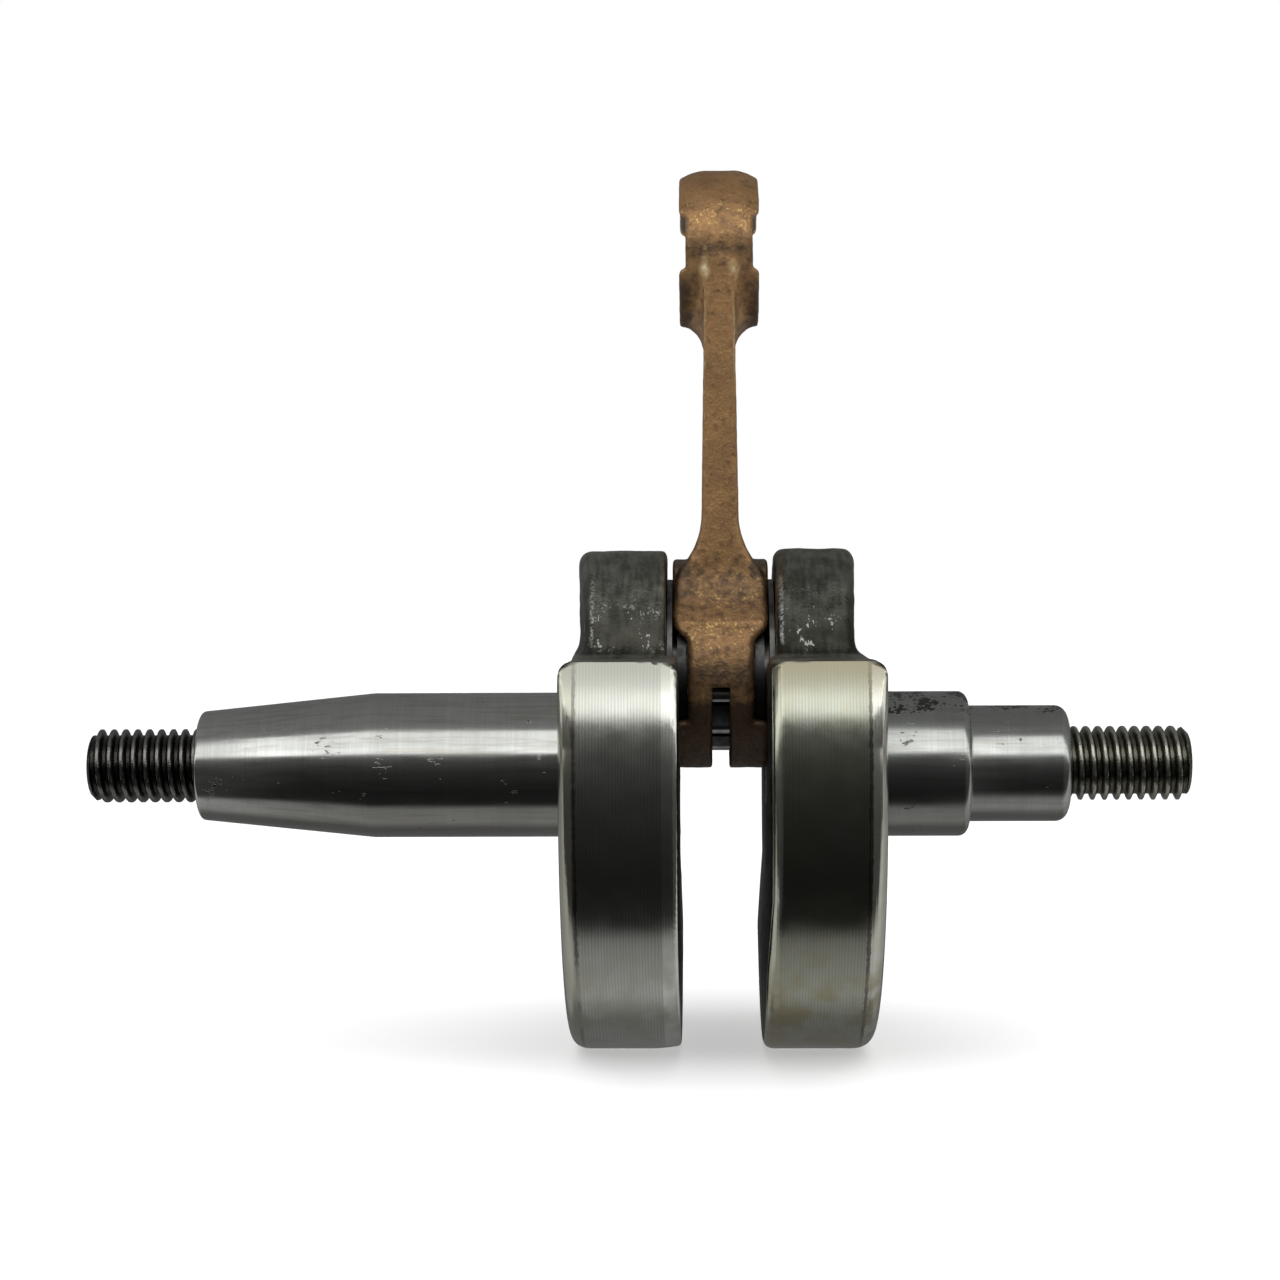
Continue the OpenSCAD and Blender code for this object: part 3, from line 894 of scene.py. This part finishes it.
def flywheel_rows():
    """Main journal running into the 1:5 taper."""
    rows = [(LEFT_TAPER_X, JOURNAL_R), (LEFT_TAPER_X + 0.15, JOURNAL_R - 0.01)]
    rows += arc(LEFT_THREAD_X - 0.4, TAPER_SMALL_R - 0.4, 0.4, 84, 0, 4)
    return rows + [(LEFT_THREAD_X, THREAD_ROOT_R)]


def keyway_cutter():
    """Disc that a Woodruff cutter sweeps, on the +Y side of the taper."""
    middle = (LEFT_TAPER_X + LEFT_THREAD_X) / 2
    surface_r = (JOURNAL_R + TAPER_SMALL_R) / 2
    mesh = bpy.data.meshes.new("keyway_cutter")
    shape = bmesh.new()
    radius = KEY_D / 2 * MM
    bmesh.ops.create_cone(shape, cap_ends=True, segments=64, radius1=radius, radius2=radius,
                          depth=KEY_WIDTH * MM)
    centre = Vector((-middle, surface_r + KEY_D / 2 - KEY_DEPTH, 0))
    bmesh.ops.translate(shape, verts=shape.verts, vec=centre * MM)
    shape.to_mesh(mesh)
    shape.free()
    cutter = bpy.data.objects.new("keyway_cutter", mesh)
    bpy.context.collection.objects.link(cutter)
    return cutter


def crank_half(name, web, materials, body_rows, thread_x, end_x):
    """One forged half. Its materials are for the web, the ground shaft and the thread."""
    piece = forged_web(web, name, materials)
    combine(piece, shaft(name + "_shaft", web["side"], body_rows, thread_x, end_x), "UNION")
    if web["side"] < 0:
        combine(piece, keyway_cutter(), "DIFFERENCE")
    add_attribute(piece, "turned", turned_share(web))
    add_attribute(piece, "faced", faced_share(web))
    piece.data.set_sharp_from_angle(angle=SHARP_WEB_ANGLE)
    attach(piece, "crank")
    return piece


def add_crank_halves():
    left_finish = (
        web_material("left_web", LEFT_WEB, (0.55, 0.56, 0.51), (0.45, 0.45, 0.38), 0.55),
        ground_material("left_journal", (0.62, 0.63, 0.6), (0.13, 0.19), -0.3, 0.1),
        thread_material("left_thread", (0.22, 0.22, 0.21), (0.045, 0.042, 0.038)),
    )
    left = crank_half("left_half", LEFT_WEB, left_finish, flywheel_rows(), LEFT_THREAD_X, LEFT_END_X)
    right_finish = (
        web_material("right_web", RIGHT_WEB, (0.43, 0.445, 0.37), (0.36, 0.32, 0.2), 0.4),
        ground_material("right_journal", (0.58, 0.6, 0.57), (0.18, 0.25), 0.09, 0.5),
        thread_material("right_thread", (0.42, 0.42, 0.36), (0.12, 0.115, 0.09)),
    )
    right = crank_half("right_half", RIGHT_WEB, right_finish, drive_rows(), RIGHT_THREAD_X, RIGHT_END_X)
    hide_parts("left_crank_half")
    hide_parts("right_crank_half")


# ---------------------------------------------------------------- connecting rod

LOW_TANGENT, HIGH_TANGENT = math.radians(35), math.radians(5.5)
TANGENT_H = BIG_R * math.sin(LOW_TANGENT)
# Heights here and in the functions below are above the crankpin axis
FLARE_H, FLARE_HALF, FLARE_SLOPE = 11.5, 3.67, math.radians(54)
BODY_HALF = 4.68
FACE_TOP, FACE_HALF_DEPTH = 12.0, 4.3
NOTCH_LOW, NOTCH_TOP, NECK_HALF = -4.4, 3.75, 3.38
SLOT_HALF = 0.9
EYE_NOTCH_HALF, EYE_NOTCH_FLOOR = 2.6, 3.4
ROD_GRID = (0.2, 0.22, 0.22)
SHARP_ROD_ANGLE = math.radians(50)


def shank_half_width(h):
    return 1.93 - 0.0165 * (h - 14)


def shank_half_depth(h):
    """The shank's edges: straight, and tangent to the big end below and to the small eye above."""
    straight = 5.3
    to_big_end = BIG_R * math.cos(LOW_TANGENT) - math.tan(LOW_TANGENT) * (h - TANGENT_H)
    eye_h = ROD_CENTRES - SMALL_R * math.sin(HIGH_TANGENT)
    to_eye = SMALL_R * math.cos(HIGH_TANGENT) + math.tan(HIGH_TANGENT) * (h - eye_h)
    return smooth_max(smooth_max(straight, to_big_end, 1.6), to_eye, 1.2)


def rod_solid(x, y, z):
    h = z - THROW
    side = np.abs(x)
    depth = np.sqrt(y * y + 0.01)
    from_pin = np.hypot(y, h)
    from_eye = np.hypot(y, h - ROD_CENTRES)

    flare = (side - FLARE_HALF) * math.sin(FLARE_SLOPE) + (h - FLARE_H) * math.cos(FLARE_SLOPE)
    flare = smooth_max(flare, side - BODY_HALF, 0.9)
    flank = smooth_min(side - shank_half_width(h), flare, 1.5)
    shank = smooth_max(flank, depth - shank_half_depth(h), 0.8)
    shank = smooth_max(shank, h - (ROD_CENTRES - 1.4), 1.5)
    shank = np.maximum(shank, TANGENT_H - h)

    ring_half = np.where(h < NOTCH_LOW + 1, BIG_HALF, BODY_HALF)
    big = smooth_max(from_pin - BIG_R, side - ring_half, 0.6)
    crown = np.interp(h, (ROD_CENTRES, ROD_CENTRES + 4), (0, 0.85))
    crown = crown * (np.maximum(side - 1.6, 0) / (SMALL_HALF - 1.6)) ** 1.6
    eye = smooth_max(from_eye - SMALL_R + crown, side - SMALL_HALF, 0.3)
    under_eye = ROD_CENTRES - SMALL_R
    fillet = np.interp(h, (under_eye - 0.5, under_eye + 2.5), (3.2, 0.7))
    body = smooth_min(smooth_min(shank, big, 0.3), eye, fillet)

    ears = smooth_max(from_pin - FACE_TOP, depth - FACE_HALF_DEPTH, 0.8)
    face = smooth_max(side - BIG_HALF, np.minimum(ears, from_pin - BIG_R + 0.5), 0.4)
    body = smooth_min(body, np.maximum(face, 3 - h), 0.3)

    panel_edge = np.maximum(np.maximum(20.5 - h, h - 30.5), 0)
    panel = np.hypot(depth, panel_edge) - np.minimum(shank_half_depth(h) - 1.9, 3.6)
    panel = smooth_max(panel, shank_half_width(h) - 0.75 - side, 0.9)
    body = smooth_max(body, -panel, 0.5)

    chamfer = (h - NOTCH_TOP - 0.6 * (side - NECK_HALF)) * 0.86
    notch = smooth_max(smooth_max(NECK_HALF - side, chamfer, 0.5), NOTCH_LOW - h, 0.4)
    body = smooth_max(body, -notch, 1.1)
    eye_notch = np.abs(h - ROD_CENTRES + 0.3) - EYE_NOTCH_HALF - 0.35 * (side - EYE_NOTCH_FLOOR)
    eye_notch = smooth_max(eye_notch, EYE_NOTCH_FLOOR - side, 0.3)
    body = smooth_max(body, -eye_notch, 0.5)
    slot = np.maximum(side - SLOT_HALF, h + 1.1)
    body = smooth_max(body, -slot, 0.25)
    body = smooth_max(body, BIG_BORE_R - from_pin, 0.3)
    return smooth_max(body, SMALL_BORE_R - from_eye, 0.4)


def ground_share(x, y, z):
    """Positive on the thrust faces and in both bores, where grinding has taken the copper off."""
    h = z - THROW
    faces = np.where(h < 20, np.abs(x) - (BIG_HALF - 0.06), -1)
    big_bore = BIG_BORE_R + 0.08 - np.hypot(y, h)
    small_bore = SMALL_BORE_R + 0.08 - np.hypot(y, h - ROD_CENTRES)
    return np.maximum(faces, np.maximum(big_bore, small_bore))


def shade_and_oil_share(x, y, z):
    """Positive where shade is painted, with some old oil: low on the big end between the webs, beside
    the shank under the eye, on the side blocks, and in bands under the eye, on the block and on the
    neck.
    """
    h = z - THROW
    ring = NOTCH_LOW + 2.5 - h
    beside = np.abs(x) - shank_half_width(h) - 0.2
    under_eye = np.minimum(beside, np.minimum(ROD_CENTRES - 3 - h, h - ROD_CENTRES + 11))
    ears = np.minimum(np.minimum(beside - 0.6, h - 9.7), 16 - h)
    # Bands of painted shade under the eye, on the block and on the neck
    eye_band = 0.5 * (1 - np.abs(h - ROD_CENTRES + 1.1) / 1.6)
    block = 0.42 * (1 - np.abs(h - 9) / 4)
    neck = 0.55 * (1 - np.abs(h - 0.3) / 3.5)
    shade_bands = np.maximum(eye_band, np.maximum(block, neck))
    return np.maximum(np.maximum(ring * 0.6, shade_bands), np.maximum(under_eye * 0.35, ears * 1.5))


def painted_sheen_share(x, y, z):
    """Positive where highlights are painted on the copper: two glint spots under the eye, and the edges
    below them.
    """
    h = z - THROW
    from_edge = np.abs(np.abs(x) - shank_half_width(h))
    spots = 0.45 - np.hypot(from_edge - 0.1, 0.45 * (h - ROD_CENTRES + 3))
    edges = 0.26 - np.maximum(1.6 * from_edge, 0.045 * np.abs(h - ROD_CENTRES + 9))
    return np.where(-y > shank_half_depth(h) - 0.9, np.maximum(spots, edges), -1)


def add_connecting_rod():
    low = (-BIG_HALF - 0.6, -BIG_R - 0.8, THROW - BIG_R - 0.8)
    high = (BIG_HALF + 0.6, BIG_R + 0.8, SMALL_Z + SMALL_R + 0.8)
    points, quads = surface_net(rod_solid, low, high, ROD_GRID)
    points, normals = settled(rod_solid, points)
    rough = np.clip(-3 * ground_share(*points.T), 0, 1)
    swell = 0.03 * lumps(points, 1.6) + 0.025 * lumps(points + 30, 0.7)
    points += normals * (rough * swell)[:, None]
    # The ground thrust faces stay clear of the washers.
    points[:, 0] = np.clip(points[:, 0], -BIG_HALF, BIG_HALF)
    piece = mesh_object("rod_forging", points, quads, (copper_material(),))
    add_attribute(piece, "ground", ground_share)
    add_attribute(piece, "shade_and_oil", shade_and_oil_share)
    add_attribute(piece, "painted_sheen", painted_sheen_share)
    piece.data.set_sharp_from_angle(angle=SHARP_ROD_ANGLE)
    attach(piece, "rod")
    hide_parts("connecting_rod")


# ---------------------------------------------------------------- bearing parts kept from the CAD

def finish_node(name, material, edge):
    """Gives a CAD node its material and breaks its sharp edges."""
    node = frame["nodes"][name]
    node.data.materials.clear()
    node.data.materials.append(material)
    bevel = node.modifiers.new("broken_edge", "BEVEL")
    bevel.width = edge * MM
    bevel.segments = 2
    bevel.limit_method = "ANGLE"
    bevel.angle_limit = math.radians(40)


def finish_bearing():
    roller = bearing_material("roller_steel", (0.3, 0.3, 0.3), (0.16, 0.155, 0.15), 0.1)
    cage = bearing_material("cage_steel", (0.1, 0.1, 0.1), (0.05, 0.05, 0.05), 0.35)
    washer = bearing_material("washer_steel", (0.15, 0.15, 0.145), (0.07, 0.07, 0.065), 0.3)
    pin = bearing_material("pin_steel", (0.2, 0.2, 0.19), (0.1, 0.1, 0.09), 0.3)
    for name in frame["nodes"]:
        if name.startswith("needle_roller"):
            finish_node(name, roller, 0.15)
    finish_node("needle_cage", cage, 0.08)
    finish_node("thrust_washer_left", washer, 0.1)
    finish_node("thrust_washer_right", washer, 0.1)
    finish_node("crankpin", pin, 0.2)


add_camera()
add_studio()
add_crank_halves()
add_connecting_rod()
finish_bearing()
